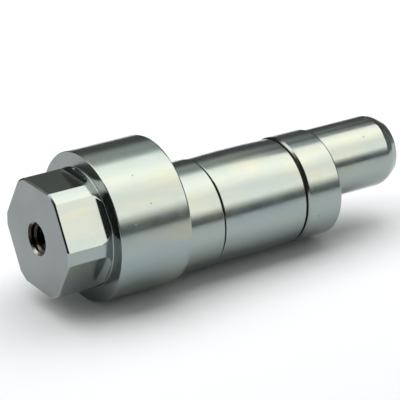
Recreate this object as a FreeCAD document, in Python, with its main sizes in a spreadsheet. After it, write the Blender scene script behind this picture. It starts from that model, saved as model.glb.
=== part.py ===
import FreeCAD, Part
import os
import Sketcher

# Eccentric pivot pin that carries one eye of a forklift's tilt cylinder.
# The main axis is X. The collar and the nose turn on it, in the frame's two lugs.
# The lands between them sit below it by the eccentricity, and carry the cylinder's eye.
# The origin is the middle of the collar, and the hexagon is at the -X end.

SIZES = {
    # collar that turns in the thick lug
    "collar_radius": 25.0,
    "collar_length": 26.4,
    "collar_chamfer": 0.5,
    # boss with the spanner hexagon
    "boss_radius": 19.9,
    "head_length": 16.5,
    "flat_depth": 1.65,
    "land_length": 0.5,
    "head_chamfer": 0.6,
    "flat_bevel": 0.55,
    "port_radius": 5.0,
    "port_countersink": 0.7,
    "socket_depth": 6.0,
    # shaft inside
    "eccentricity": 5.76,
    "tail_radius": 11.0,
    "tail_end_gap": 0.2,
    "spigot_radius": 7.0,
    "spigot_length": 18.0,
    "spigot_end_gap": 0.5,
    "spigot_chamfer": 0.8,
    "gallery_radius": 2.0,
    "feed_radius": 1.5,
    # key that carries the spanner's torque
    "key_radius": 2.5,
    "key_depth": 20.0,
    "key_chamfer": 0.4,
    # the three lands and the seams between them
    "land_radius": 18.38,
    "inner_ring_length": 17.45,
    "inner_seam": 0.7,
    "sleeve_relief": 0.43,
    "sleeve_length": 32.7,
    "crown_rise": 0.33,
    "sleeve_wall": 3.4,
    "outer_seam": 0.9,
    "outer_ring_length": 13.7,
    "outer_chamfer": 0.8,
    # bearing between the sleeve and the shaft
    "running_clearance": 0.05,
    "liner_wall": 1.5,
    "liner_recess": 0.3,
    "oil_groove_width": 4.0,
    "oil_groove_depth": 0.5,
    "washer_recess": 1.98,
    "washer_play": 0.05,
    # nose that finds the far lug
    "nose_radius": 12.45,
    "nose_length": 29.7,
    "taper_length": 3.5,
    "taper_drop": 1.8,
    "tip_break": 0.6,
    "centre_radius": 2.4,
    "centre_depth": 4.2,
    "centre_drill_radius": 1.0,
}

# how close two sizes are to count as one, and the least that a cut takes away
SAME_SIZE = 1e-4
LEAST_CUT = 1e-3

doc = FreeCAD.newDocument("eccentric_pin")
sheet = doc.addObject("Spreadsheet::Sheet", "dims")
for row, (alias, value) in enumerate(SIZES.items(), start=1):
    sheet.set(f"A{row}", alias)
    sheet.set(f"B{row}", str(value))
    sheet.setAlias(f"B{row}", alias)
doc.recompute()

# radius of the eccentric journal, which leaves room for the liner and the sleeve's wall
JOURNAL = ("(dims.land_radius - dims.sleeve_relief - dims.sleeve_wall"
           " - dims.liner_wall - dims.running_clearance)")

# places along the main axis, each worked out from the lengths before it
COLLAR_START = "-dims.collar_length / 2"
HEAD_START = f"{COLLAR_START} - dims.head_length"
SHOULDER = "dims.collar_length / 2"
SLEEVE_START = f"{SHOULDER} + dims.inner_ring_length + dims.inner_seam"
SLEEVE_END = f"{SLEEVE_START} + dims.sleeve_length"
OUTER_RING_START = f"{SLEEVE_END} + dims.outer_seam"
NOSE_START = f"{OUTER_RING_START} + dims.outer_ring_length"


def number(formula):
    """The present value of a formula of the sheet's sizes."""
    return float(sheet.evalExpression(formula))


def new_body(label, along="0", below="0"):
    """An empty body whose own origin lies this far along the main axis and below it."""
    body = doc.addObject("PartDesign::Body", label)
    body.Label = label
    body.setExpression("Placement.Base.x", along)
    body.setExpression("Placement.Base.z", f"-({below})")
    return body


def new_sketch(body, name, role, away="0"):
    """A sketch on one of the body's own origin planes, moved away along its normal."""
    sketch = body.newObject("Sketcher::SketchObject", name)
    plane = next(item for item in body.Origin.OriginFeatures if item.Role == role)
    sketch.AttachmentSupport = [(plane, "")]
    sketch.MapMode = "FlatFace"
    sketch.setExpression("AttachmentOffset.Base.z", away)
    return sketch


def tie(sketch, kind, geometry, point, formula):
    """Holds a point this far from the sketch's own origin, across or up."""
    place = sketch.addConstraint(
        Sketcher.Constraint(kind, -1, 1, geometry, point, number(formula)))
    sketch.setExpression(f"Constraints[{place}]", formula)


def add_outline(sketch, corners):
    """A closed outline of straight edges, each corner given by two formulas."""
    points = [FreeCAD.Vector(number(across), number(up), 0) for across, up in corners]
    count = len(points)
    for index, point in enumerate(points):
        sketch.addGeometry(Part.LineSegment(point, points[(index + 1) % count]), False)
    for index in range(count):
        sketch.addConstraint(
            Sketcher.Constraint("Coincident", index, 2, (index + 1) % count, 1))
    for index, (across, up) in enumerate(corners):
        tie(sketch, "DistanceX", index, 1, across)
        tie(sketch, "DistanceY", index, 1, up)


def add_circle(sketch, radius, across="0", up="0"):
    """A circle whose radius and centre are formulas."""
    centre = FreeCAD.Vector(number(across), number(up), 0)
    circle = sketch.addGeometry(
        Part.Circle(centre, FreeCAD.Vector(0, 0, 1), number(radius)), False)
    tie(sketch, "DistanceX", circle, 3, across)
    tie(sketch, "DistanceY", circle, 3, up)
    place = sketch.addConstraint(Sketcher.Constraint("Radius", circle, number(radius)))
    sketch.setExpression(f"Constraints[{place}]", radius)


def turn(body, name, corners):
    """Turns an outline of (along, radius) corners about the body's own X axis."""
    sketch = new_sketch(body, f"{name}_outline", "XY_Plane")
    add_outline(sketch, corners)
    feature = body.newObject("PartDesign::Revolution", name)
    feature.Profile = sketch
    feature.ReferenceAxis = (sketch, ["H_Axis"])
    feature.Angle = 360
    return feature


def turn_away(body, name, corners):
    """Cuts a turned outline of (along, radius) corners out of the body."""
    sketch = new_sketch(body, f"{name}_outline", "XY_Plane")
    add_outline(sketch, corners)
    feature = body.newObject("PartDesign::Groove", name)
    feature.Profile = sketch
    feature.ReferenceAxis = (sketch, ["H_Axis"])
    feature.Angle = 360
    return feature


def pad_disc(body, name, radius, start, length, below="0"):
    """Adds a round bar along X, from start and over the length."""
    sketch = new_sketch(body, f"{name}_circle", "YZ_Plane", start)
    add_circle(sketch, radius, up=f"-({below})")
    feature = body.newObject("PartDesign::Pad", name)
    feature.Profile = sketch
    feature.setExpression("Length", length)
    return feature


def drill(body, name, radius, start, length, below="0"):
    """Cuts a round hole along +X, from start and over the length."""
    sketch = new_sketch(body, f"{name}_circle", "YZ_Plane", start)
    add_circle(sketch, radius, up=f"-({below})")
    feature = body.newObject("PartDesign::Pocket", name)
    feature.Profile = sketch
    feature.Reversed = True
    feature.setExpression("Length", length)
    return feature


def is_rim(edge, along, radius):
    """Whether an edge is a full circle about X of this radius at this place."""
    if not isinstance(edge.Curve, Part.Circle):
        return False
    off_place = abs(edge.Curve.Center.x - number(along))
    off_radius = abs(edge.Curve.Radius - number(radius))
    return off_place < SAME_SIZE and off_radius < SAME_SIZE


def chamfer_rim(body, name, along, radius, size):
    """Takes the corner off the round rim at this place and of this radius."""
    doc.recompute()
    base = body.Tip
    rims = [f"Edge{index}" for index, edge in enumerate(base.Shape.Edges, start=1)
            if is_rim(edge, along, radius)]
    feature = body.newObject("PartDesign::Chamfer", name)
    feature.Base = (base, rims)
    feature.setExpression("Size", size)
    return feature


def spanner_head():
    """Round boss with six bevelled flats, a land at its foot and the grease port."""
    body = new_body("spanner_head", HEAD_START)
    length = "dims.head_length"
    socket = "dims.head_length - dims.socket_depth"
    turn(body, "boss", [
        ("0", "dims.port_radius + dims.port_countersink"),
        ("0", "dims.boss_radius - dims.head_chamfer"),
        ("dims.head_chamfer", "dims.boss_radius"),
        (length, "dims.boss_radius"),
        (length, "dims.tail_radius"),
        (socket, "dims.tail_radius"),
        (socket, "dims.port_radius"),
        ("dims.port_countersink", "dims.port_radius"),
    ])
    flat = new_sketch(body, "flat_outline", "YZ_Plane")
    side = "dims.boss_radius"
    add_outline(flat, [
        (f"-{side}", "dims.boss_radius - dims.flat_depth"),
        (side, "dims.boss_radius - dims.flat_depth"),
        (side, "dims.boss_radius + dims.flat_depth"),
        (f"-{side}", "dims.boss_radius + dims.flat_depth"),
    ])
    milled = body.newObject("PartDesign::Pocket", "milled_flat")
    milled.Profile = flat
    milled.Reversed = True
    milled.setExpression("Length", "dims.head_length - dims.land_length")
    depth = "dims.boss_radius - dims.flat_depth"
    wedge = new_sketch(body, "bevel_outline", "XZ_Plane")
    add_outline(wedge, [
        ("0", f"{depth} - dims.flat_bevel"),
        ("2 * dims.flat_bevel", f"{depth} + dims.flat_bevel"),
        ("0", f"{depth} + dims.flat_bevel"),
    ])
    bevel = body.newObject("PartDesign::Pocket", "flat_bevel")
    bevel.Profile = wedge
    bevel.Midplane = True
    bevel.setExpression("Length", "2 * dims.boss_radius")
    doc.recompute()
    indexed = body.newObject("PartDesign::PolarPattern", "indexed_flats")
    indexed.Originals = [milled, bevel]
    indexed.Axis = (next(item for item in body.Origin.OriginFeatures
                         if item.Role == "X_Axis"), [""])
    indexed.Angle = 360
    indexed.Occurrences = 6
    body.Tip = indexed
    drill(body, "key_seat", "dims.key_radius", socket, "dims.socket_depth", "dims.tail_radius")
    return body


def support_collar():
    """The large journal, bored for the core's tail, with half of the key's seat."""
    body = new_body("support_collar", COLLAR_START)
    end = "dims.collar_length"
    turn(body, "journal", [
        ("0", "dims.tail_radius"),
        ("0", "dims.collar_radius - dims.collar_chamfer"),
        ("dims.collar_chamfer", "dims.collar_radius"),
        (f"{end} - dims.collar_chamfer", "dims.collar_radius"),
        (end, "dims.collar_radius - dims.collar_chamfer"),
        (end, "dims.tail_radius"),
    ])
    drill(body, "key_seat", "dims.key_radius", "0", "dims.key_depth", "dims.tail_radius")
    return body


def eccentric_core():
    """Shaft whose tail and spigot lie on the main axis, with the journal below it."""
    body = new_body("eccentric_core", SHOULDER)
    tail = "dims.collar_length + dims.socket_depth - dims.tail_end_gap"
    journal = ("dims.inner_ring_length + dims.inner_seam + dims.sleeve_length"
               " + dims.outer_seam + dims.outer_ring_length")
    middle = "dims.inner_ring_length + dims.inner_seam + dims.sleeve_length / 2"
    pad_disc(body, "tail", "dims.tail_radius", f"-({tail})", tail)
    pad_disc(body, "journal", JOURNAL, "0", journal, "dims.eccentricity")
    pad_disc(body, "spigot", "dims.spigot_radius", journal, "dims.spigot_length")
    spigot_end = f"{journal} + dims.spigot_length"
    chamfer_rim(body, "spigot_lead", spigot_end, "dims.spigot_radius", "dims.spigot_chamfer")
    drill(body, "grease_gallery", "dims.gallery_radius", f"-({tail})", f"{tail} + {middle}")
    key_start = "-(dims.collar_length + dims.socket_depth)"
    drill(body, "key_seat", "dims.key_radius", key_start,
          "dims.socket_depth + dims.key_depth", "dims.tail_radius")
    feed = new_sketch(body, "feed_circle", "XY_Plane")
    add_circle(feed, "dims.feed_radius", across=middle)
    hole = body.newObject("PartDesign::Pocket", "grease_feed")
    hole.Profile = feed
    hole.setExpression("Length", f"dims.eccentricity + {JOURNAL}")
    return body


def round_key():
    """Round key laid half in the tail and half in the collar and the head."""
    body = new_body("round_key", f"{COLLAR_START} - dims.socket_depth", "dims.tail_radius")
    length = "dims.socket_depth + dims.key_depth"
    turn(body, "bar", [
        ("0", "0"),
        ("0", "dims.key_radius - dims.key_chamfer"),
        ("dims.key_chamfer", "dims.key_radius"),
        (f"{length} - dims.key_chamfer", "dims.key_radius"),
        (length, "dims.key_radius - dims.key_chamfer"),
        (length, "0"),
    ])
    return body


def inner_ring():
    """Eccentric land beside the collar, pressed on the journal."""
    body = new_body("inner_ring", SHOULDER, "dims.eccentricity")
    end = "dims.inner_ring_length"
    turn(body, "land", [
        ("0", JOURNAL),
        ("0", "dims.land_radius"),
        (end, "dims.land_radius"),
        (end, JOURNAL),
    ])
    return body


def outer_ring():
    """Eccentric land beside the nose, with a chamfer on its outer end."""
    body = new_body("outer_ring", OUTER_RING_START, "dims.eccentricity")
    end = "dims.outer_ring_length"
    turn(body, "land", [
        ("0", JOURNAL),
        ("0", "dims.land_radius"),
        (f"{end} - dims.outer_chamfer", "dims.land_radius"),
        (end, "dims.land_radius - dims.outer_chamfer"),
        (end, JOURNAL),
    ])
    return body


def sleeve_liner():
    """Plain bearing bush with a shallow V groove for oil round its bore."""
    body = new_body("sleeve_liner", f"{SLEEVE_START} + dims.liner_recess", "dims.eccentricity")
    length = "dims.sleeve_length - 2 * dims.liner_recess"
    bore = f"{JOURNAL} + dims.running_clearance"
    turn(body, "bush", [
        ("0", bore),
        ("0", f"{bore} + dims.liner_wall"),
        (length, f"{bore} + dims.liner_wall"),
        (length, bore),
    ])
    groove_start = f"({length} - dims.oil_groove_width) / 2"
    groove_end = f"({length} + dims.oil_groove_width) / 2"
    turn_away(body, "oil_groove", [
        (groove_start, JOURNAL),
        (groove_start, bore),
        (f"({length}) / 2", f"{bore} + dims.oil_groove_depth"),
        (groove_end, bore),
        (groove_end, JOURNAL),
    ])
    return body


def crowned_sleeve():
    """Outer sleeve, slightly barrel shaped, that turns in the cylinder's eye."""
    body = new_body("crowned_sleeve", SLEEVE_START, "dims.eccentricity")
    sketch = new_sketch(body, "barrel_outline", "XY_Plane")
    bore = f"{JOURNAL} + dims.running_clearance + dims.liner_wall"
    end = "dims.sleeve_length"
    end_radius = "dims.land_radius - dims.sleeve_relief"
    corners = [
        (end, end_radius),
        (end, bore),
        ("0", bore),
        ("0", end_radius),
    ]
    points = [FreeCAD.Vector(number(across), number(up), 0) for across, up in corners]
    for start, finish in zip(points, points[1:]):
        sketch.addGeometry(Part.LineSegment(start, finish), False)
    top = FreeCAD.Vector(number(f"{end} / 2"),
                         number(f"{end_radius} + dims.crown_rise"), 0)
    crown = sketch.addGeometry(Part.Arc(points[-1], top, points[0]), False)
    last = crown - 1
    for index in range(last):
        sketch.addConstraint(Sketcher.Constraint("Coincident", index, 2, index + 1, 1))
    for index, (across, up) in enumerate(corners[:-1]):
        tie(sketch, "DistanceX", index, 1, across)
        tie(sketch, "DistanceY", index, 1, up)
    tie(sketch, "DistanceX", last, 2, corners[-1][0])
    tie(sketch, "DistanceY", last, 2, corners[-1][1])
    # a three-point arc runs anticlockwise, so its start is at the far end of the sleeve
    sketch.addConstraint(Sketcher.Constraint("Coincident", crown, 1, 0, 1))
    sketch.addConstraint(Sketcher.Constraint("Coincident", crown, 2, last, 2))
    half = f"({end} / 2)"
    radius = f"({half} * {half} + dims.crown_rise * dims.crown_rise) / (2 * dims.crown_rise)"
    place = sketch.addConstraint(Sketcher.Constraint("Radius", crown, number(radius)))
    sketch.setExpression(f"Constraints[{place}]", radius)
    barrel = body.newObject("PartDesign::Revolution", "barrel")
    barrel.Profile = sketch
    barrel.ReferenceAxis = (sketch, ["H_Axis"])
    barrel.Angle = 360
    return body


def thrust_washer(label, start, seam):
    """Flat washer that fills a seam, apart from its play on each side."""
    body = new_body(label, f"{start} + dims.washer_play", "dims.eccentricity")
    bore = f"{JOURNAL} + dims.running_clearance"
    thickness = f"{seam} - 2 * dims.washer_play"
    turn(body, "disc", [
        ("0", bore),
        ("0", "dims.land_radius - dims.washer_recess"),
        (thickness, "dims.land_radius - dims.washer_recess"),
        (thickness, bore),
    ])
    return body


def guide_nose():
    """Slim journal with a chamfered tip, a blind bore and a turning centre."""
    body = new_body("guide_nose", NOSE_START)
    end = "dims.nose_length"
    seat = "dims.spigot_length + dims.spigot_end_gap"
    tip = "dims.nose_radius - dims.taper_drop"
    turn(body, "journal", [
        ("0", "dims.spigot_radius"),
        ("0", "dims.nose_radius"),
        (f"{end} - dims.tip_break - dims.taper_length", "dims.nose_radius"),
        (f"{end} - dims.tip_break", tip),
        (end, f"{tip} - dims.tip_break"),
        (end, "0"),
        (seat, "0"),
        (seat, "dims.spigot_radius"),
    ])
    cone_end = f"{end} - (dims.centre_radius - dims.centre_drill_radius) / tan(30 deg)"
    turn_away(body, "turning_centre", [
        (f"{end} - dims.centre_depth", "0"),
        (f"{end} - dims.centre_depth", "dims.centre_drill_radius"),
        (cone_end, "dims.centre_drill_radius"),
        (end, "dims.centre_radius"),
        (end, "0"),
    ])
    return body


PIECES = [
    spanner_head(),
    support_collar(),
    eccentric_core(),
    round_key(),
    inner_ring(),
    thrust_washer("inner_thrust_washer", f"{SHOULDER} + dims.inner_ring_length", "dims.inner_seam"),
    sleeve_liner(),
    crowned_sleeve(),
    thrust_washer("outer_thrust_washer", SLEEVE_END, "dims.outer_seam"),
    outer_ring(),
    guide_nose(),
]
doc.recompute()


def check_features():
    """Stops if a feature failed, or if a cut took nothing away."""
    for item in doc.Objects:
        if {"Invalid", "Error"} & set(item.State):
            raise RuntimeError(f"{item.Name} is {item.State}")
    cuts = ("PartDesign::Pocket", "PartDesign::Groove")
    for item in doc.Objects:
        if item.TypeId in cuts:
            before = item.BaseFeature.Shape.Volume
            if item.Shape.Volume >= before - LEAST_CUT:
                raise RuntimeError(f"{item.Name} of {item.BaseFeature.Name} cuts nothing")


def write_pieces():
    """Writes each piece to a file that has its name."""
    os.makedirs("parts", exist_ok=True)
    for body in PIECES:
        shape = body.Shape
        if shape.isNull() or not shape.isValid() or len(shape.Solids) != 1:
            raise RuntimeError(f"{body.Label} isn't one valid solid")
        shape.exportStep(f"parts/{body.Label}.step")
        box = shape.BoundBox
        print(f"{body.Label}: {shape.Volume:.1f} mm3, x {box.XMin:.2f} to {box.XMax:.2f},"
              f" z {box.ZMin:.2f} to {box.ZMax:.2f}")


check_features()
write_pieces()
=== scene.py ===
import math

import bmesh
import bpy
from bpy.props import FloatProperty, FloatVectorProperty, IntProperty, PointerProperty
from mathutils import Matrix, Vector


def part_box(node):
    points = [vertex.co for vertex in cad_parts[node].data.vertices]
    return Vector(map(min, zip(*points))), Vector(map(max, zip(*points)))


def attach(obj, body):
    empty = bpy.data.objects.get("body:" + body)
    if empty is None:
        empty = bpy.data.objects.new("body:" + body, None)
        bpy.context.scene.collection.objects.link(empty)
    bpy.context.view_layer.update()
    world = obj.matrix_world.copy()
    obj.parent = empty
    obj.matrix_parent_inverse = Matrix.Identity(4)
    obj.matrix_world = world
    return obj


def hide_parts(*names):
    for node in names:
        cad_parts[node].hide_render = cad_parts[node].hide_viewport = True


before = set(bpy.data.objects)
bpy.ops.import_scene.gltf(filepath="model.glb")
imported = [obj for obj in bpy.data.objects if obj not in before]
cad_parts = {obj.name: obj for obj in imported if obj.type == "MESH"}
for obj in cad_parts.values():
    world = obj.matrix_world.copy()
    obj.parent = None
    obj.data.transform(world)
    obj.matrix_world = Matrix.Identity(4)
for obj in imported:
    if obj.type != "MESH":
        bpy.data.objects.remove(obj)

bl_info = {
    "name": "Eccentric pivot pin",
    "version": (1, 0, 0),
    "blender": (4, 5, 0),
    "location": "View3D > Sidebar > Pivot pin",
    "description": "Machined and plated finish for the pivot pin of a forklift's tilt cylinder",
    "category": "Object",
}

MM = 0.001

# the brightest level that a card's ramp can hold, where a floor in full light has about 1
CARD_WHITE = 4.0

# how close two points are to count as one, and how close two radii are to count as the same rim
WELD = 1e-7
SAME = 1e-5

# edges that turn by more than this stay sharp in the shading
CREASE = math.radians(21)

# how much of a normal lies along the axis: a face turned flat has more than the first, a face
# that is no end has less than the second, and one that is no chamfer either less than the third
FACED, NO_END, NO_CHAMFER = 0.99, 0.9, 0.6

# material slots, of which the turned pieces use the first two
TURNED_SLOT, FACED_SLOT, MILLED_SLOT, TAPPED_SLOT = range(4)

# flats of the spanner head, and faces in one turn of the thread
FLATS = 6
THREAD_STEPS = 48

# slope of the turning centre's cone to the axis
CENTRE_CONE = math.radians(30)

# depth of the finest marks, as a bump
MARK_DEPTH = 0.02 * MM

# height of the softbox and of the cards overhead
CEILING = 0.8

# where the turned pieces lie, read from the frame
HEAD_LOW, HEAD_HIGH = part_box("spanner_head")
COLLAR_LOW, COLLAR_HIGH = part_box("support_collar")
INNER_LOW, INNER_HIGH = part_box("inner_ring")
SLEEVE_LOW, SLEEVE_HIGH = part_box("crowned_sleeve")
OUTER_LOW, OUTER_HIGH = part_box("outer_ring")
NOSE_LOW, NOSE_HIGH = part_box("guide_nose")
CORE_LOW, CORE_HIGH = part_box("eccentric_core")
LINER_LOW, LINER_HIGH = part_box("sleeve_liner")
OFFSET_AXIS = (INNER_LOW.z + INNER_HIGH.z) / 2
LAND_RADIUS = (INNER_HIGH.z - INNER_LOW.z) / 2
CROWN_RADIUS = (SLEEVE_HIGH.z - SLEEVE_LOW.z) / 2
LINER_RADIUS = (LINER_HIGH.z - LINER_LOW.z) / 2
TAIL_RADIUS = CORE_HIGH.z
JOURNAL_RADIUS = OFFSET_AXIS - CORE_LOW.z
FLOOR_HEIGHT = COLLAR_LOW.z


def length(name, description, default):
    """A length property, given in millimetres."""
    return FloatProperty(name=name, description=description, default=default * MM,
                         unit="LENGTH", precision=5)


def colour(name, description, default):
    """A colour property."""
    return FloatVectorProperty(name=name, description=description, default=default,
                               subtype="COLOR", size=3, min=0.0, max=1.0)


class PinSizes(bpy.types.PropertyGroup):
    """Details of the pieces that the frame's boxes don't give."""

    flat_depth: length("Flat depth", "How deep each spanner flat is milled into the boss", 1.65)
    land_length: length("Foot land", "Round land between the flats and the collar", 0.5)
    step_slope: length("Step slope", "Slope of the step at the foot of a flat", 0.08)
    runout_length: length("Run-out", "Where the milling cutter starts to lift off a flat", 3.9)
    runout_rise: length("Run-out rise", "How far the cutter has lifted at the foot", 1.0)
    foot_fillet: length("Foot fillet", "Fillet between the foot land and the collar", 0.28)
    head_chamfer: length("Head chamfer", "Chamfer of the boss before its flats are milled", 0.6)
    head_bevel: length("Head bevel", "Chamfer of the head's front edge", 0.5)
    port_radius: length("Port radius", "Radius of the tapped hole", 5.0)
    port_countersink: length("Countersink", "Countersink of the tapped hole", 0.7)
    socket_depth: length("Socket depth", "Depth of the socket for the shaft's tail", 6.0)
    thread_pitch: length("Thread pitch", "Pitch of the tapped hole's thread", 1.5)
    thread_height: length("Thread height", "How far the thread stands in from its root", 0.8)
    thread_length: length("Thread length", "How deep the thread is cut", 9.0)
    collar_round: length("Collar edge", "Rounding of the collar's rim at the head", 0.35)
    collar_lead: length("Collar lead", "Length of the gentle lead at the collar's other rim", 0.8)
    lead_drop: length("Lead drop", "How much the lead takes off the collar's radius", 0.24)
    ring_round: length("Ring edge", "Rounding of a land's rims at the seams", 0.35)
    seam_bevel: length("Seam bevel", "Chamfer of the outer ring's rim at the seam", 0.65)
    outer_round: length("Outer corner", "Rounding of the outer ring's rim at the nose", 0.8)
    end_drop: length("Crown drop", "How much smaller the sleeve's ends are than its middle", 0.33)
    nose_taper: length("Nose taper", "Length of the taper at the nose's tip", 3.5)
    nose_drop: length("Nose drop", "How much the taper takes off the nose's radius", 1.8)
    nose_round: length("Nose rounding", "Rounding where the taper starts", 1.6)
    tip_break: length("Tip edge", "Rounding of the nose's end", 0.45)
    spigot_radius: length("Spigot radius", "Radius of the blind bore on the shaft's spigot", 7.0)
    spigot_depth: length("Spigot depth", "Depth of the blind bore", 18.5)
    centre_radius: length("Centre radius", "Radius of the turning centre at the tip", 2.4)
    centre_drill: length("Centre drill", "Radius of the turning centre's drilled end", 1.0)
    centre_depth: length("Centre depth", "Depth of the turning centre", 4.2)
    round_steps: IntProperty(name="Round steps", description="Faces round a turned piece",
                             default=240, min=48, max=512)
    runout_steps: IntProperty(name="Run-out steps", description="Faces along a flat's run-out",
                              default=14, min=2, max=64)
    fillet_steps: IntProperty(name="Fillet steps", description="Faces along the foot fillet",
                              default=6, min=2, max=24)
    crown_steps: IntProperty(name="Crown steps", description="Faces along the crowned sleeve",
                             default=16, min=4, max=64)


class PinFinish(bpy.types.PropertyGroup):
    """Colours and textures of the finishes."""

    zinc: colour("Zinc", "Clear zinc plating", (0.320, 0.368, 0.352))
    zinc_warm: colour("Warm zinc", "Plating where it turns cream", (0.390, 0.390, 0.310))
    zinc_cool: colour("Cool zinc", "Plating where it turns blue", (0.290, 0.352, 0.358))
    milled: colour("Milled zinc", "Plating on the milled flats", (0.335, 0.370, 0.345))
    faced: colour("Faced zinc", "Plating on the faces turned flat", (0.243, 0.266, 0.262))
    # the tapped hole's steel is near black, a painted shade of the inside of the hole
    tapped: colour("Tapped steel", "Oily steel in the tapped hole", (0.055, 0.047, 0.040))
    steel: colour("Ground steel", "Bare ground steel of the shaft", (0.46, 0.45, 0.43))
    # the bronze is darkened, a painted shade of the seams that the washers show in
    bronze: colour("Bronze", "Bearing bronze", (0.24, 0.18, 0.11))
    pits: colour("Pits", "Dirt in the pits of the plating", (0.10, 0.10, 0.09))
    faced_pits: colour("Faced pits", "Dirt in the pits of the faces turned flat", (0.06, 0.06, 0.05))
    floor: colour("Floor", "The pale floor", (0.86, 0.87, 0.88))


class PinStudio(bpy.types.PropertyGroup):
    """Camera and lights."""

    azimuth: FloatProperty(name="Azimuth", description="Turn of the camera about the object",
                           default=math.radians(33.81), subtype="ANGLE")
    elevation: FloatProperty(name="Elevation", description="Height of the camera as an angle",
                             default=math.radians(23.64), subtype="ANGLE")
    distance: FloatProperty(name="Distance", description="From the camera to its target",
                            default=0.72, unit="LENGTH")
    target: FloatVectorProperty(name="Target", description="Where the camera looks",
                                default=(0.0316, -0.0019, -0.0007), subtype="XYZ")
    lens: FloatProperty(name="Lens", description="Focal length in millimetres", default=194.85)
    softbox_level: FloatProperty(name="Softbox", description="Radiance of the softbox",
                                 default=2.0, min=0.0)
    card_colour: colour("Card colour", "Tint of the bright cards", (1.0, 0.945, 0.87))
    wall_colour: colour("Wall colour", "Tint of the dim cards", (0.95, 1.0, 0.975))
    room_level: FloatProperty(name="Room", description="Light of the room on dull surfaces",
                              default=0.28, min=0.0)


def finish_mesh(bm, name, materials, body, node=None, choose=None):
    """Makes a closed bmesh an object that rides on a body and can stand for a node."""
    bmesh.ops.remove_doubles(bm, verts=bm.verts, dist=WELD)
    bmesh.ops.recalc_face_normals(bm, faces=bm.faces)
    if choose:
        bm.normal_update()
        for face in bm.faces:
            face.material_index = choose(face)
    mesh = bpy.data.meshes.new(name)
    bm.to_mesh(mesh)
    bm.free()
    mesh.shade_smooth()
    mesh.set_sharp_from_angle(angle=CREASE)
    for material in materials:
        mesh.materials.append(material)
    piece = bpy.data.objects.new(name, mesh)
    bpy.context.scene.collection.objects.link(piece)
    even = piece.modifiers.new("even_normals", "WEIGHTED_NORMAL")
    even.keep_sharp = True
    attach(piece, body)
    if node:
        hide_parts(node)
    return piece


def faced_or_turned(face):
    """Material slot of a turned piece's face."""
    return FACED_SLOT if abs(face.normal.x) > FACED else TURNED_SLOT


def turned(corners, steps, axis=0.0, closed=True):
    """A bmesh spun about an axis along X from an outline of (along, radius) corners."""
    bm = bmesh.new()
    verts = [bm.verts.new((along, 0.0, axis + radius)) for along, radius in corners]
    edges = [bm.edges.new(pair) for pair in zip(verts, verts[1:])]
    if closed:
        edges.append(bm.edges.new((verts[-1], verts[0])))
    bmesh.ops.spin(bm, geom=verts + edges, cent=(0.0, 0.0, axis), axis=(1.0, 0.0, 0.0),
                   dvec=(0.0, 0.0, 0.0), angle=math.tau, steps=steps,
                   use_merge=True, use_duplicate=False)
    bmesh.ops.remove_doubles(bm, verts=bm.verts, dist=WELD)
    return bm


def radius_of(point, axis=0.0):
    """Distance of a point from an axis along X."""
    return math.hypot(point.y, point.z - axis)


def on_rim(vert, along, radius, axis):
    """Whether a vertex lies on the rim at this place and of this radius."""
    return abs(vert.co.x - along) < SAME and abs(radius_of(vert.co, axis) - radius) < SAME


def round_rim(bm, along, radius, size, axis=0.0, segments=5):
    """Rounds the rim at this place and of this radius, or chamfers it with one segment."""
    rim = [edge for edge in bm.edges
           if all(on_rim(vert, along, radius, axis) for vert in edge.verts)]
    bmesh.ops.bevel(bm, geom=rim, offset=size, offset_type="OFFSET", segments=segments,
                    profile=0.5, affect="EDGES", clamp_overlap=True, material=-1)


def mill_flat(bm, normal, across, foot, run, rise):
    """Presses what stands above a plane on to it, up to the foot, as a cutter would.

    Towards the foot the cut lifts off the plane, by this rise over this run."""
    def lift(along):
        """How far the cut lies above the plane."""
        return rise * max(0.0, (along - foot) / run + 1.0) ** 3

    def outside(face):
        """Whether a face lies on the boss's round, and not in a hole or on an end."""
        return abs(face.normal.x) < NO_END and min(radius_of(v.co) for v in face.verts) > across / 2

    bm.normal_update()
    faces = [face for face in bm.faces
             if outside(face) and all(vert.co.x < foot + SAME for vert in face.verts)]
    edges = {edge for face in faces for edge in face.edges}
    verts = {vert for face in faces for vert in face.verts}
    cut = bmesh.ops.bisect_plane(bm, geom=list(verts) + list(edges) + faces, dist=WELD,
                                 plane_co=normal * across, plane_no=normal,
                                 clear_inner=False, clear_outer=False)
    new = {item for item in cut["geom_cut"] if isinstance(item, bmesh.types.BMVert)}
    for vert in verts | new:
        above = vert.co.dot(normal) - across - lift(vert.co.x)
        if above > 0.0:
            vert.co -= normal * above


def bevel_flat(bm, normal, across, start, size):
    """Cuts the edge between a flat and the end face at 45 degrees, and closes the cut."""
    bmesh.ops.bisect_plane(bm, geom=bm.verts[:] + bm.edges[:] + bm.faces[:], dist=WELD,
                           plane_co=normal * (across - size) + Vector((start, 0.0, 0.0)),
                           plane_no=(normal - Vector((1.0, 0.0, 0.0))).normalized(),
                           clear_outer=True)
    bmesh.ops.holes_fill(bm, edges=[edge for edge in bm.edges if edge.is_boundary], sides=0)


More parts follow.
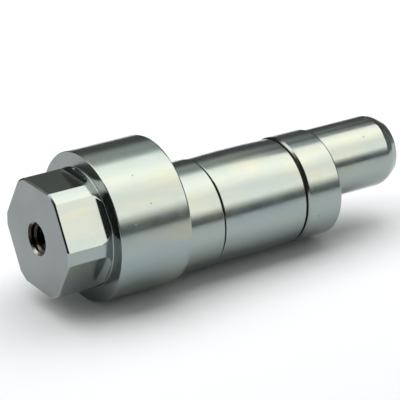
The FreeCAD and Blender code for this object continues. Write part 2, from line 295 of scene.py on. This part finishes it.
class PIN_OT_spanner_head(bpy.types.Operator):
    """Boss with six milled flats, a round land at its foot and the tapped hole"""

    bl_idname = "pin.spanner_head"
    bl_label = "Spanner head"

    def execute(self, context):
        sizes = context.scene.pin_sizes
        start, end, radius = HEAD_LOW.x, HEAD_HIGH.x, HEAD_HIGH.z
        foot = end - sizes.land_length
        cut_end = foot - sizes.step_slope
        socket = end - sizes.socket_depth
        port = sizes.port_radius
        across = radius - sizes.flat_depth
        count = sizes.runout_steps
        rings = [(cut_end - sizes.runout_length * (1.0 - index / count), radius)
                 for index in range(count + 1)]
        fillet = [(end - sizes.foot_fillet * (1.0 - math.sin(turn)),
                   radius + sizes.foot_fillet * (1.0 - math.cos(turn)))
                  for turn in (math.radians(90 * index / sizes.fillet_steps)
                               for index in range(sizes.fillet_steps + 1))]
        bm = turned([
            (start, port + sizes.port_countersink),
            (start, radius - sizes.head_chamfer),
            (start + sizes.head_chamfer, radius),
            *rings,
            (foot, radius),
            *fillet,
            (end, TAIL_RADIUS),
            (socket, TAIL_RADIUS),
            (socket, port),
            (start + sizes.port_countersink, port),
        ], sizes.round_steps)
        for index in range(FLATS):
            turn = math.radians(360 / FLATS * index)
            normal = Vector((0.0, math.sin(turn), math.cos(turn)))
            mill_flat(bm, normal, across, cut_end, sizes.runout_length, sizes.runout_rise)
            bevel_flat(bm, normal, across, start, sizes.head_bevel)

        def choose(face):
            """Material slot of a face of the head."""
            middle = face.calc_center_median()
            if radius_of(middle) < port + sizes.port_countersink:
                return TAPPED_SLOT
            milled = 0.0 < middle.dot(face.normal) < across + sizes.runout_rise
            if milled and abs(face.normal.x) < NO_CHAMFER:
                return MILLED_SLOT
            at_end = face.normal.x < -FACED and middle.x < start + SAME
            return FACED_SLOT if at_end else TURNED_SLOT

        finish_mesh(bm, "spanner_head_milled",
                    [plated_steel("main_axis", 0.0), faced_steel(), milled_steel(), tapped_steel()],
                    "pin", "spanner_head", choose)
        return {"FINISHED"}


class PIN_OT_port_thread(bpy.types.Operator):
    """Thread of the tapped hole, wound as a helix on the hole's wall"""

    bl_idname = "pin.port_thread"
    bl_label = "Port thread"

    def execute(self, context):
        sizes = context.scene.pin_sizes
        root, crest = sizes.port_radius, sizes.port_radius - sizes.thread_height
        start = HEAD_LOW.x + sizes.port_countersink
        # the thread's foot is a little less than a pitch wide, so that the turns stay apart
        half = sizes.thread_pitch * 0.46
        land = sizes.thread_pitch / 16
        bm = bmesh.new()
        outline = [(-half, root), (-land, crest), (land, crest), (half, root)]
        verts = [bm.verts.new((start + half + along, 0.0, radius)) for along, radius in outline]
        bm.faces.new(verts)
        turns = (sizes.thread_length - 2 * half) / sizes.thread_pitch
        steps = round(turns * THREAD_STEPS)
        bmesh.ops.spin(bm, geom=bm.verts[:] + bm.edges[:] + bm.faces[:], cent=(0.0, 0.0, 0.0),
                       axis=(1.0, 0.0, 0.0),
                       dvec=(sizes.thread_pitch / THREAD_STEPS, 0.0, 0.0),
                       angle=math.tau * steps / THREAD_STEPS, steps=steps,
                       use_merge=False, use_duplicate=False)
        finish_mesh(bm, "port_thread", [tapped_steel()], "pin")
        return {"FINISHED"}


class PIN_OT_support_collar(bpy.types.Operator):
    """The large journal, with a rounded rim and a gentle lead"""

    bl_idname = "pin.support_collar"
    bl_label = "Support collar"

    def execute(self, context):
        sizes = context.scene.pin_sizes
        start, end, radius = COLLAR_LOW.x, COLLAR_HIGH.x, COLLAR_HIGH.z
        bm = turned([
            (start, TAIL_RADIUS),
            (start, radius),
            (end - sizes.collar_lead, radius),
            (end, radius - sizes.lead_drop),
            (end, TAIL_RADIUS),
        ], sizes.round_steps)
        round_rim(bm, start, radius, sizes.collar_round)
        finish_mesh(bm, "support_collar_turned", [plated_steel("main_axis", 0.0), faced_steel()],
                    "pin", "support_collar", faced_or_turned)
        return {"FINISHED"}


class PIN_OT_lands(bpy.types.Operator):
    """The two eccentric rings and the crowned sleeve between them"""

    bl_idname = "pin.lands"
    bl_label = "Eccentric lands"

    def execute(self, context):
        sizes = context.scene.pin_sizes
        steel = plated_steel("offset_axis", OFFSET_AXIS)
        self.ring(sizes, steel, "inner_ring", INNER_LOW.x, INNER_HIGH.x,
                  bevel=0.0, end_round=sizes.ring_round)
        self.ring(sizes, steel, "outer_ring", OUTER_LOW.x, OUTER_HIGH.x,
                  bevel=sizes.seam_bevel, end_round=sizes.outer_round)
        self.sleeve(sizes, steel)
        return {"FINISHED"}

    def ring(self, sizes, steel, node, start, end, bevel, end_round):
        """A land of one radius with a chamfer where it starts and a rounded end."""
        bm = turned([(start, JOURNAL_RADIUS), (start, LAND_RADIUS), (end, LAND_RADIUS),
                     (end, JOURNAL_RADIUS)], sizes.round_steps, OFFSET_AXIS)
        if bevel:
            round_rim(bm, start, LAND_RADIUS, bevel, OFFSET_AXIS, segments=1)
        round_rim(bm, end, LAND_RADIUS, end_round, OFFSET_AXIS)
        finish_mesh(bm, f"{node}_turned", [steel, faced_steel()], "pin", node, faced_or_turned)

    def sleeve(self, sizes, steel):
        """The crowned sleeve, whose outline is a long flat arc."""
        start, end = SLEEVE_LOW.x, SLEEVE_HIGH.x
        middle, half = (start + end) / 2, (end - start) / 2
        count = sizes.crown_steps
        shares = [2 * index / count - 1 for index in range(count + 1)]
        crown = [(middle + half * share, CROWN_RADIUS - sizes.end_drop * share * share)
                 for share in shares]
        bm = turned([(start, LINER_RADIUS)] + crown + [(end, LINER_RADIUS)],
                    sizes.round_steps, OFFSET_AXIS)
        rim = CROWN_RADIUS - sizes.end_drop
        round_rim(bm, start, rim, sizes.ring_round, OFFSET_AXIS)
        round_rim(bm, end, rim, sizes.ring_round, OFFSET_AXIS)
        finish_mesh(bm, "crowned_sleeve_turned", [steel, faced_steel()], "sleeve", "crowned_sleeve",
                    faced_or_turned)


class PIN_OT_guide_nose(bpy.types.Operator):
    """Slim journal with a tapered tip and a turning centre"""

    bl_idname = "pin.guide_nose"
    bl_label = "Guide nose"

    def execute(self, context):
        sizes = context.scene.pin_sizes
        start, end, radius = NOSE_LOW.x, NOSE_HIGH.x, NOSE_HIGH.z
        seat = start + sizes.spigot_depth
        taper = end - sizes.nose_taper - sizes.tip_break
        tip = radius - sizes.nose_drop - sizes.tip_break
        cone = (sizes.centre_radius - sizes.centre_drill) / math.tan(CENTRE_CONE)
        bm = turned([
            (seat, 0.0),
            (seat, sizes.spigot_radius),
            (start, sizes.spigot_radius),
            (start, radius),
            (taper, radius),
            (end, tip),
            (end, sizes.centre_radius),
            (end - cone, sizes.centre_drill),
            (end - sizes.centre_depth, sizes.centre_drill),
            (end - sizes.centre_depth, 0.0),
        ], sizes.round_steps, closed=False)
        round_rim(bm, taper, radius, sizes.nose_round)
        round_rim(bm, end, tip, sizes.tip_break)
        finish_mesh(bm, "guide_nose_turned", [plated_steel("main_axis", 0.0), faced_steel()],
                    "pin", "guide_nose", faced_or_turned)
        return {"FINISHED"}


class PIN_OT_inner_pieces(bpy.types.Operator):
    """Finishes for the shaft, key, liner and washers inside"""

    bl_idname = "pin.inner_pieces"
    bl_label = "Inner pieces"

    def execute(self, context):
        steel, bronze = oiled_steel(), seam_shaded_bronze()
        finishes = {
            "eccentric_core": steel,
            "round_key": steel,
            "sleeve_liner": bronze,
            "inner_thrust_washer": bronze,
            "outer_thrust_washer": bronze,
        }
        # what the turned pieces stand for is hidden, and gets the plating
        hidden = plated_steel("main_axis", 0.0)
        for node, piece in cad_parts.items():
            piece.data.materials.clear()
            piece.data.materials.append(finishes.get(node, hidden))
        return {"FINISHED"}


def new_group(name, inputs, outputs):
    """An empty node group with named inputs and outputs, and the nodes that hold them."""
    tree = bpy.data.node_groups.new(name, "ShaderNodeTree")
    for label, kind, default in inputs:
        socket = tree.interface.new_socket(label, in_out="INPUT", socket_type=kind)
        if default is not None:
            socket.default_value = default
    for label, kind in outputs:
        tree.interface.new_socket(label, in_out="OUTPUT", socket_type=kind)
    return tree, tree.nodes.new("NodeGroupInput"), tree.nodes.new("NodeGroupOutput")


def feed(tree, socket, value):
    """Links a node's output to an input, or sets a plain value on it."""
    if isinstance(value, bpy.types.NodeSocket):
        tree.links.new(value, socket)
    else:
        socket.default_value = value


def add_node(tree, kind, settings=None, **inputs):
    """A node with its settings and inputs. An input goes by its name, or by its place as in _0."""
    node = tree.nodes.new(kind)
    for key, value in (settings or {}).items():
        setattr(node, key, value)
    for key, value in inputs.items():
        feed(tree, node.inputs[int(key[1:])] if key[1:].isdigit() else node.inputs[key], value)
    return node


def maths(tree, operation, first, second=0.0):
    """The result of a math node."""
    return add_node(tree, "ShaderNodeMath", {"operation": operation}, _0=first, _1=second).outputs[0]


def straight(tree, value, slope, start):
    """A value times a slope, added to a start."""
    return maths(tree, "ADD", maths(tree, "MULTIPLY", value, slope), start)


def ramp(tree, value, low, high):
    """A value stretched so that low becomes 0 and high becomes 1, and clamped."""
    node = add_node(tree, "ShaderNodeMapRange", {"clamp": True}, Value=value)
    node.inputs["From Min"].default_value = low
    node.inputs["From Max"].default_value = high
    return node.outputs["Result"]


def blend_colours(tree, share, first, second):
    """A mix of two colours, each a socket or three numbers."""
    ends = [end if isinstance(end, bpy.types.NodeSocket) else (*end, 1.0) for end in (first, second)]
    # the mix node has its colours at inputs 6 and 7 and at output 2
    return add_node(tree, "ShaderNodeMix", {"data_type": "RGBA"},
                    _0=share, _6=ends[0], _7=ends[1]).outputs[2]


def toned(tint, share):
    """A colour at a share of its brightness."""
    return [part * share for part in tint]


def lathe_marks():
    """Group: fine grooves that run round an axis along X, and broader streaks beside them."""
    if "lathe_marks" in bpy.data.node_groups:
        return bpy.data.node_groups["lathe_marks"]
    tree, given, result = new_group("lathe_marks", [
        ("Vector", "NodeSocketVector", None),
        ("Axis Height", "NodeSocketFloat", 0.0),
        ("Lines", "NodeSocketFloat", 3000.0),
    ], [("Height", "NodeSocketFloat"), ("Streaks", "NodeSocketFloat")])
    split = add_node(tree, "ShaderNodeSeparateXYZ", Vector=given.outputs["Vector"])
    up = maths(tree, "SUBTRACT", split.outputs["Z"], given.outputs["Axis Height"])
    side = split.outputs["Y"]
    squares = maths(tree, "ADD", maths(tree, "MULTIPLY", side, side), maths(tree, "MULTIPLY", up, up))
    radius = maths(tree, "MAXIMUM", maths(tree, "SQRT", squares), MM)
    for lines_share, turn_share, detail, socket in ((1.0, 1.2, 3.0, "Height"),
                                                    (0.09, 2.2, 2.0, "Streaks")):
        lines = maths(tree, "MULTIPLY", given.outputs["Lines"], lines_share)
        place = add_node(tree, "ShaderNodeCombineXYZ",
                         X=maths(tree, "MULTIPLY", split.outputs["X"], lines),
                         Y=maths(tree, "MULTIPLY", maths(tree, "DIVIDE", side, radius), turn_share),
                         Z=maths(tree, "MULTIPLY", maths(tree, "DIVIDE", up, radius), turn_share))
        noise = add_node(tree, "ShaderNodeTexNoise", {"noise_dimensions": "4D"},
                         Vector=place.outputs[0], W=maths(tree, "MULTIPLY", radius, lines),
                         Scale=1.0, Detail=detail, Roughness=0.6)
        tree.links.new(noise.outputs["Fac"], result.inputs[socket])
    return tree


def plating_tint():
    """Group: clear zinc that turns cream in some places and blue in others."""
    if "plating_tint" in bpy.data.node_groups:
        return bpy.data.node_groups["plating_tint"]
    tree, given, result = new_group("plating_tint", [
        ("Vector", "NodeSocketVector", None),
        ("Base", "NodeSocketColor", None),
        ("Warm", "NodeSocketColor", None),
        ("Cool", "NodeSocketColor", None),
        ("Scale", "NodeSocketFloat", 55.0),
    ], [("Colour", "NodeSocketColor")])
    shares = []
    for shift in (0.0, 3.7):
        moved = add_node(tree, "ShaderNodeMapping", Vector=given.outputs["Vector"],
                         Location=(shift, shift, shift), Scale=(0.35, 1.4, 1.4))
        noise = add_node(tree, "ShaderNodeTexNoise", Vector=moved.outputs[0],
                         Scale=given.outputs["Scale"], Detail=4.0, Roughness=0.62)
        shares.append(ramp(tree, noise.outputs["Fac"], 0.48, 0.72))
    warm = blend_colours(tree, shares[0], given.outputs["Base"], given.outputs["Warm"])
    both = blend_colours(tree, shares[1], warm, given.outputs["Cool"])
    tree.links.new(both, result.inputs["Colour"])
    return tree


def dark_specks():
    """Group: small pits and grains of dirt, as a mask."""
    if "dark_specks" in bpy.data.node_groups:
        return bpy.data.node_groups["dark_specks"]
    tree, given, result = new_group("dark_specks", [
        ("Vector", "NodeSocketVector", None),
        ("Scale", "NodeSocketFloat", 420.0),
        ("Size", "NodeSocketFloat", 0.18),
    ], [("Mask", "NodeSocketFloat")])
    cells = add_node(tree, "ShaderNodeTexVoronoi", Vector=given.outputs["Vector"],
                     Scale=given.outputs["Scale"])
    chosen = ramp(tree, add_node(tree, "ShaderNodeSeparateColor",
                                 Color=cells.outputs["Color"]).outputs[0], 0.92, 1.0)
    size = maths(tree, "MULTIPLY", chosen, given.outputs["Size"])
    inside = maths(tree, "SUBTRACT", size, cells.outputs["Distance"])
    mask = ramp(tree, inside, 0.0, 0.04)
    tree.links.new(mask, result.inputs["Mask"])
    return tree


def hairline_scratches():
    """Group: sparse fine scratches in two directions, as a mask."""
    if "hairline_scratches" in bpy.data.node_groups:
        return bpy.data.node_groups["hairline_scratches"]
    tree, given, result = new_group("hairline_scratches", [
        ("Vector", "NodeSocketVector", None),
    ], [("Mask", "NodeSocketFloat")])
    masks = []
    for turn, stretch in ((0.5, (120.0, 1500.0, 120.0)), (-0.9, (90.0, 110.0, 1700.0))):
        laid = add_node(tree, "ShaderNodeMapping", Vector=given.outputs["Vector"],
                        Rotation=(turn, turn, turn / 2), Scale=stretch)
        noise = add_node(tree, "ShaderNodeTexNoise", Vector=laid.outputs[0], Scale=1.0, Detail=1.0)
        masks.append(ramp(tree, noise.outputs["Fac"], 0.72, 0.78))
    tree.links.new(maths(tree, "MAXIMUM", *masks), result.inputs["Mask"])
    return tree


def use_group(tree, group, **inputs):
    """Places a group in a material, with its inputs named with underscores for spaces."""
    node = tree.nodes.new("ShaderNodeGroup")
    node.node_tree = group
    for key, value in inputs.items():
        feed(tree, node.inputs[key.replace("_", " ")], value)
    return node


def new_material(name):
    """An empty node material, its tree and its object coordinates."""
    material = bpy.data.materials.new(name)
    material.use_nodes = True
    tree = material.node_tree
    tree.nodes.clear()
    output = tree.nodes.new("ShaderNodeOutputMaterial")
    shader = tree.nodes.new("ShaderNodeBsdfPrincipled")
    tree.links.new(shader.outputs[0], output.inputs["Surface"])
    place = tree.nodes.new("ShaderNodeTexCoord").outputs["Object"]
    return material, tree, shader, place


def finish_metal(tree, shader, shade, rough):
    """Gives a shader a metal's colour and roughness."""
    tree.links.new(shade, shader.inputs["Base Color"])
    tree.links.new(rough, shader.inputs["Roughness"])
    shader.inputs["Metallic"].default_value = 1.0


def press_marks(tree, shader, height, strength):
    """Gives a shader fine marks as a bump."""
    bump = add_node(tree, "ShaderNodeBump", Height=height, Strength=strength, Distance=MARK_DEPTH)
    tree.links.new(bump.outputs["Normal"], shader.inputs["Normal"])


def plated_steel(label, axis):
    """Turned steel with clear zinc plating, its marks running round this axis."""
    name = f"plated_steel_{label}"
    if name in bpy.data.materials:
        return bpy.data.materials[name]
    finish = bpy.context.scene.pin_finish
    material, tree, shader, place = new_material(name)
    marks = use_group(tree, lathe_marks(), Vector=place, Axis_Height=axis, Lines=2600.0)
    tint = use_group(tree, plating_tint(), Vector=place, Base=(*finish.zinc, 1.0),
                     Warm=(*finish.zinc_warm, 1.0), Cool=(*finish.zinc_cool, 1.0))
    specks = use_group(tree, dark_specks(), Vector=place)
    scratches = use_group(tree, hairline_scratches(), Vector=place)
    # faint lines along the axis, from handling
    drawn = add_node(tree, "ShaderNodeMapping", Vector=place, Scale=(30.0, 700.0, 700.0))
    draws = add_node(tree, "ShaderNodeTexNoise", Vector=drawn.outputs[0], Scale=1.0, Detail=4.0)
    speck_share = maths(tree, "MULTIPLY", specks.outputs["Mask"], 0.3)
    shade = blend_colours(tree, speck_share, tint.outputs["Colour"], finish.pits)
    streaks = ramp(tree, marks.outputs["Streaks"], 0.3, 0.7)
    rough = straight(tree, streaks, 0.07, 0.12)
    rough = straight(tree, scratches.outputs["Mask"], 0.05, rough)
    rough = straight(tree, specks.outputs["Mask"], 0.3, rough)
    finish_metal(tree, shader, shade, rough)
    height = straight(tree, scratches.outputs["Mask"], -0.3, marks.outputs["Height"])
    press_marks(tree, shader, straight(tree, draws.outputs["Fac"], 3.0, height), strength=0.12)
    shader.inputs["Anisotropic"].default_value = 0.45
    tangent = add_node(tree, "ShaderNodeTangent", {"direction_type": "RADIAL", "axis": "X"})
    tree.links.new(tangent.outputs[0], shader.inputs["Tangent"])
    return material


def faced_steel():
    """Plated faces that were turned flat: duller, with rings round the axis."""
    if "faced_steel" in bpy.data.materials:
        return bpy.data.materials["faced_steel"]
    finish = bpy.context.scene.pin_finish
    material, tree, shader, place = new_material("faced_steel")
    marks = use_group(tree, lathe_marks(), Vector=place, Lines=3000.0)
    specks = use_group(tree, dark_specks(), Vector=place, Scale=290.0, Size=0.22)
    cloud = add_node(tree, "ShaderNodeTexNoise", Vector=place, Scale=60.0, Detail=4.0)
    share = ramp(tree, cloud.outputs["Fac"], 0.35, 0.75)
    shade = blend_colours(tree, share, finish.faced, toned(finish.faced, 0.86))
    shade = blend_colours(tree, maths(tree, "MULTIPLY", specks.outputs["Mask"], 0.7), shade,
                          finish.faced_pits)
    rough = straight(tree, specks.outputs["Mask"], 0.3, straight(tree, share, 0.06, 0.2))
    finish_metal(tree, shader, shade, rough)
    press_marks(tree, shader, marks.outputs["Height"], strength=0.1)
    return material


def milled_steel():
    """Plated flats with the fine straight marks of a milling cutter."""
    if "milled_steel" in bpy.data.materials:
        return bpy.data.materials["milled_steel"]
    finish = bpy.context.scene.pin_finish
    material, tree, shader, place = new_material("milled_steel")
    tint = use_group(tree, plating_tint(), Vector=place, Base=(*finish.milled, 1.0),
                     Warm=(*finish.zinc_warm, 1.0), Cool=(*finish.zinc_cool, 1.0), Scale=90.0)
    specks = use_group(tree, dark_specks(), Vector=place)
    shade = blend_colours(tree, maths(tree, "MULTIPLY", specks.outputs["Mask"], 0.5),
                          tint.outputs["Colour"], finish.pits)
    laid = add_node(tree, "ShaderNodeMapping", Vector=place, Scale=(2400.0, 60.0, 60.0))
    lines = add_node(tree, "ShaderNodeTexNoise", Vector=laid.outputs[0], Scale=1.0, Detail=3.0)
    finish_metal(tree, shader, shade, straight(tree, lines.outputs["Fac"], 0.08, 0.1))
    press_marks(tree, shader, lines.outputs["Fac"], strength=0.25)
    return material


def tapped_steel():
    """Steel of the tapped hole, painted near black as the shade inside it."""
    if "tapped_steel" in bpy.data.materials:
        return bpy.data.materials["tapped_steel"]
    finish = bpy.context.scene.pin_finish
    material, tree, shader, place = new_material("tapped_steel")
    cloud = add_node(tree, "ShaderNodeTexNoise", Vector=place, Scale=400.0, Detail=4.0)
    share = ramp(tree, cloud.outputs["Fac"], 0.4, 0.7)
    shade = blend_colours(tree, share, finish.tapped, toned(finish.tapped, 0.5))
    # painted light on the first turns of the thread, above and below, and painted shade that darkens
    # the hole further in
    split = add_node(tree, "ShaderNodeSeparateXYZ", Vector=place).outputs
    painted_light = ramp(tree, maths(tree, "ABSOLUTE", split["Z"]), 3.4 * MM, 5.2 * MM)
    depth = ramp(tree, split["X"], HEAD_LOW.x + 1.5 * MM, HEAD_LOW.x + 4.5 * MM)
    shade = blend_colours(tree, painted_light, shade, finish.steel)
    shade = blend_colours(tree, depth, shade, toned(finish.tapped, 0.12))
    finish_metal(tree, shader, shade, straight(tree, share, 0.15, 0.25))
    return material


def oiled_steel():
    """Bare ground steel, lightly oiled."""
    if "oiled_steel" in bpy.data.materials:
        return bpy.data.materials["oiled_steel"]
    finish = bpy.context.scene.pin_finish
    material, tree, shader, place = new_material("oiled_steel")
    marks = use_group(tree, lathe_marks(), Vector=place, Lines=5200.0)
    stain = ramp(tree, marks.outputs["Streaks"], 0.35, 0.75)
    shade = blend_colours(tree, stain, finish.steel, toned(finish.steel, 0.7))
    finish_metal(tree, shader, shade, straight(tree, stain, 0.1, 0.24))
    press_marks(tree, shader, marks.outputs["Height"], strength=0.15)
    return material


def seam_shaded_bronze():
    """Bearing bronze, its colour darkened to paint the shade of the seams that it shows in."""
    if "seam_shaded_bronze" in bpy.data.materials:
        return bpy.data.materials["seam_shaded_bronze"]
    finish = bpy.context.scene.pin_finish
    material, tree, shader, place = new_material("seam_shaded_bronze")
    marks = use_group(tree, lathe_marks(), Vector=place, Axis_Height=OFFSET_AXIS, Lines=3600.0)
    tarnish = ramp(tree, marks.outputs["Streaks"], 0.4, 0.8)
    shade = blend_colours(tree, tarnish, finish.bronze, toned(finish.bronze, 0.55))
    finish_metal(tree, shader, shade, straight(tree, tarnish, 0.15, 0.3))
    press_marks(tree, shader, marks.outputs["Height"], strength=0.15)
    return material


class PIN_OT_stage(bpy.types.Operator):
    """Camera, floor, softbox, room and the cards that reflections see"""

    bl_idname = "pin.stage"
    bl_label = "Stage"

    def execute(self, context):
        scene = context.scene
        scene.view_settings.view_transform = "Standard"
        self.camera(scene)
        self.floor(scene)
        self.softbox(scene)
        self.cards(scene)
        self.room(scene)
        return {"FINISHED"}

    def camera(self, scene):
        """The photograph's view."""
        studio = scene.pin_studio
        level = math.cos(studio.elevation)
        forward = Vector((math.sin(studio.azimuth) * level, math.cos(studio.azimuth) * level,
                          -math.sin(studio.elevation)))
        data = bpy.data.cameras.new("photo_camera")
        data.lens = studio.lens
        data.clip_end = 50.0
        camera = bpy.data.objects.new("photo_camera", data)
        camera.location = Vector(studio.target) - forward * studio.distance
        camera.rotation_euler = forward.to_track_quat("-Z", "Y").to_euler()
        scene.collection.objects.link(camera)
        scene.camera = camera

    def sheet(self, scene, name, corner, across, up, material):
        """A flat sheet from one corner and its two sides."""
        bm = bmesh.new()
        places = (corner, corner + across, corner + across + up, corner + up)
        bm.faces.new([bm.verts.new(place) for place in places])
        mesh = bpy.data.meshes.new(name)
        bm.to_mesh(mesh)
        bm.free()
        mesh.materials.append(material)
        piece = bpy.data.objects.new(name, mesh)
        scene.collection.objects.link(piece)
        return piece

    def floor(self, scene):
        """A pale floor that the collar rests on."""
        material, _, shader, _ = new_material("pale_floor")
        shader.inputs["Base Color"].default_value = (*scene.pin_finish.floor, 1.0)
        shader.inputs["Roughness"].default_value = 0.9
        shader.inputs["Specular IOR Level"].default_value = 0.1
        self.sheet(scene, "floor", Vector((-6.0, -6.0, FLOOR_HEIGHT)),
                   Vector((12.0, 0.0, 0.0)), Vector((0.0, 12.0, 0.0)), material)

    def softbox(self, scene):
        """The lamp that lights the floor, wide and overhead, which reflections don't see."""
        low, high = Vector((-1.3, -0.25)), Vector((2.4, 0.75))
        size = high - low
        data = bpy.data.lights.new("softbox", "AREA")
        data.shape = "RECTANGLE"
        data.size, data.size_y = size
        data.energy = scene.pin_studio.softbox_level * math.pi * size.x * size.y
        lamp = bpy.data.objects.new("softbox", data)
        lamp.location = (*((low + high) / 2), CEILING)
        lamp.visible_camera = False
        lamp.visible_glossy = False
        scene.collection.objects.link(lamp)

    def card(self, scene, name, corner, across, up, stops, bright=False, fade=None):
        """A card that only reflections see.

        Its level runs up it through stops of (share, level). A fade of (start, end, level)
        takes it to another level from one place along X to the next."""
        studio = scene.pin_studio
        tint = studio.card_colour if bright else studio.wall_colour
        corner, across, up = Vector(corner), Vector(across), Vector(up)
        material, tree, shader, place = new_material(name)
        split = add_node(tree, "ShaderNodeSeparateXYZ", Vector=place).outputs
        way, low, rise = ("Z", corner.z, up.z) if abs(up.z) > SAME else ("Y", corner.y, up.y)
        levels = add_node(tree, "ShaderNodeValToRGB", _0=ramp(tree, split[way], low, low + rise))
        steps = levels.color_ramp.elements
        steps.remove(steps[1])
        for index, (at, level) in enumerate(stops):
            step = steps.new(at) if index else steps[0]
            step.color = [*toned(tint, level / CARD_WHITE), 1.0]
        glow = levels.outputs[0]
        if fade:
            start, end, level = fade
            glow = blend_colours(tree, ramp(tree, split["X"], start, end), glow,
                                 (level / CARD_WHITE,) * 3)
        shader.inputs["Base Color"].default_value = (0.0, 0.0, 0.0, 1.0)
        shader.inputs["Specular IOR Level"].default_value = 0.0
        tree.links.new(glow, shader.inputs["Emission Color"])
        shader.inputs["Emission Strength"].default_value = CARD_WHITE
        piece = self.sheet(scene, name, corner, across, up, material)
        piece.visible_camera = False
        piece.visible_diffuse = False
        piece.visible_shadow = False

    def cards(self, scene):
        """Cards round the object, which give its polished rounds their bands."""
        floor, top, lid = FLOOR_HEIGHT, CEILING, CEILING + 0.05
        left, right, front, back = -1.5, 2.7, -1.2, 0.6
        wide, deep, tall = (right - left, 0.0, 0.0), (0.0, back - front, 0.0), (0.0, 0.0, lid - floor)
        dark = [(0.0, 0.03), (1.0, 0.03)]
        for name, corner, across, up in (
                ("dark_left", (left, front, floor), deep, tall),
                ("dark_right", (right, front, floor), deep, tall),
                ("dark_front", (left, front, floor), wide, tall),
                ("dark_back", (left, back, floor), wide, tall),
                ("dark_ceiling", (left, front, lid), wide, deep)):
            self.card(scene, name, corner, across, up, stops=dark)
        self.card(scene, "back_card", corner=(left, 0.45, floor), across=wide,
                  up=(0.0, -0.106, 0.545), fade=(0.33, 0.50, 0.14),
                  stops=[(0.0, 0.10), (0.30, 0.11), (0.47, 0.15), (0.64, 0.56), (0.93, 0.62),
                         (1.0, 0.64)])
        self.card(scene, "back_top_card", corner=(left, 0.344, 0.52), across=wide,
                  up=(0.0, -0.054, 0.28), fade=(0.50, 0.66, 0.10),
                  stops=[(0.0, 0.64), (0.3, 0.75), (0.5, 1.15), (1.0, 2.5)])
        self.card(scene, "back_left_card", corner=(-0.60, 0.33, 0.24), across=(0.45, 0.0, 0.0),
                  up=(0.0, -0.05, 0.5), stops=[(0.0, 1.6), (1.0, 2.8)], bright=True)
        self.card(scene, "back_flag", corner=(-0.12, 0.28, floor), across=(0.19, 0.0, 0.0),
                  up=(0.0, 0.0, 0.5), stops=dark)
        self.card(scene, "top_left_card", corner=(-0.62, -0.12, top), across=(0.37, 0.0, 0.0),
                  up=(0.0, 0.41, 0.0), stops=[(0.0, 4.0), (1.0, 4.0)], bright=True)
        self.card(scene, "top_card", corner=(-0.25, -0.12, top), across=(1.20, 0.0, 0.0),
                  up=(0.0, 0.41, 0.0), stops=[(0.0, 2.7), (1.0, 2.3)], bright=True)
        self.card(scene, "top_front_card", corner=(-0.1, -0.56, top), across=(1.05, 0.0, 0.0),
                  up=(0.0, 0.44, 0.0), stops=[(0.0, 2.0), (1.0, 2.7)], bright=True)
        self.card(scene, "front_card", corner=(-0.1, -1.15, 0.30), across=(1.15, 0.0, 0.0),
                  up=(0.0, 0.59, top - 0.30), bright=True,
                  stops=[(0.0, 0.8), (0.18, 1.2), (0.35, 2.25), (0.6, 2.1), (1.0, 2.0)])
        self.card(scene, "right_card", corner=(1.3, -1.15, floor), across=(0.0, 1.43, 0.0),
                  up=(0.0, 0.0, top - floor), stops=[(0.0, 0.25), (1.0, 0.25)])
        self.card(scene, "front_skirt", corner=(0.1, -1.15, floor), across=(2.4, 0.0, 0.0),
                  up=(0.0, 0.0, 0.3 - floor), stops=[(0.0, 0.14), (0.4, 0.2), (1.0, 0.35)])

    def room(self, scene):
        """A room that looks white and gives a dim light from all sides."""
        world = bpy.data.worlds.new("dim_room")
        world.use_nodes = True
        tree = world.node_tree
        rays = add_node(tree, "ShaderNodeLightPath").outputs
        seen = maths(tree, "ADD", rays["Is Camera Ray"], rays["Is Glossy Ray"])
        seen = maths(tree, "ADD", seen, rays["Is Transmission Ray"])
        level = maths(tree, "MAXIMUM", seen, scene.pin_studio.room_level)
        background = tree.nodes["Background"]
        background.inputs["Color"].default_value = (1.0, 1.0, 1.0, 1.0)
        tree.links.new(level, background.inputs["Strength"])
        scene.world = world


STEPS = (
    PIN_OT_stage,
    PIN_OT_spanner_head,
    PIN_OT_port_thread,
    PIN_OT_support_collar,
    PIN_OT_lands,
    PIN_OT_guide_nose,
    PIN_OT_inner_pieces,
)


class VIEW3D_PT_pivot_pin(bpy.types.Panel):
    """Lists the steps in order"""

    bl_idname = "VIEW3D_PT_pivot_pin"
    bl_label = "Pivot pin"
    bl_space_type = "VIEW_3D"
    bl_region_type = "UI"
    bl_category = "Pivot pin"

    def draw(self, context):
        column = self.layout.column()
        for step in STEPS:
            column.operator(step.bl_idname)


CLASSES = (PinSizes, PinFinish, PinStudio, *STEPS, VIEW3D_PT_pivot_pin)


def register():
    """Adds the classes and the scene's three groups of properties."""
    for item in CLASSES:
        bpy.utils.register_class(item)
    bpy.types.Scene.pin_sizes = PointerProperty(type=PinSizes)
    bpy.types.Scene.pin_finish = PointerProperty(type=PinFinish)
    bpy.types.Scene.pin_studio = PointerProperty(type=PinStudio)


def unregister():
    """Takes the classes and properties away again."""
    del bpy.types.Scene.pin_sizes
    del bpy.types.Scene.pin_finish
    del bpy.types.Scene.pin_studio
    for item in reversed(CLASSES):
        bpy.utils.unregister_class(item)


def main():
    """Builds the stage and dresses every piece."""
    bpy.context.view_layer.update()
    register()
    for step in STEPS:
        group, name = step.bl_idname.split(".")
        getattr(getattr(bpy.ops, group), name)()


if __name__ == "__main__":
    main()
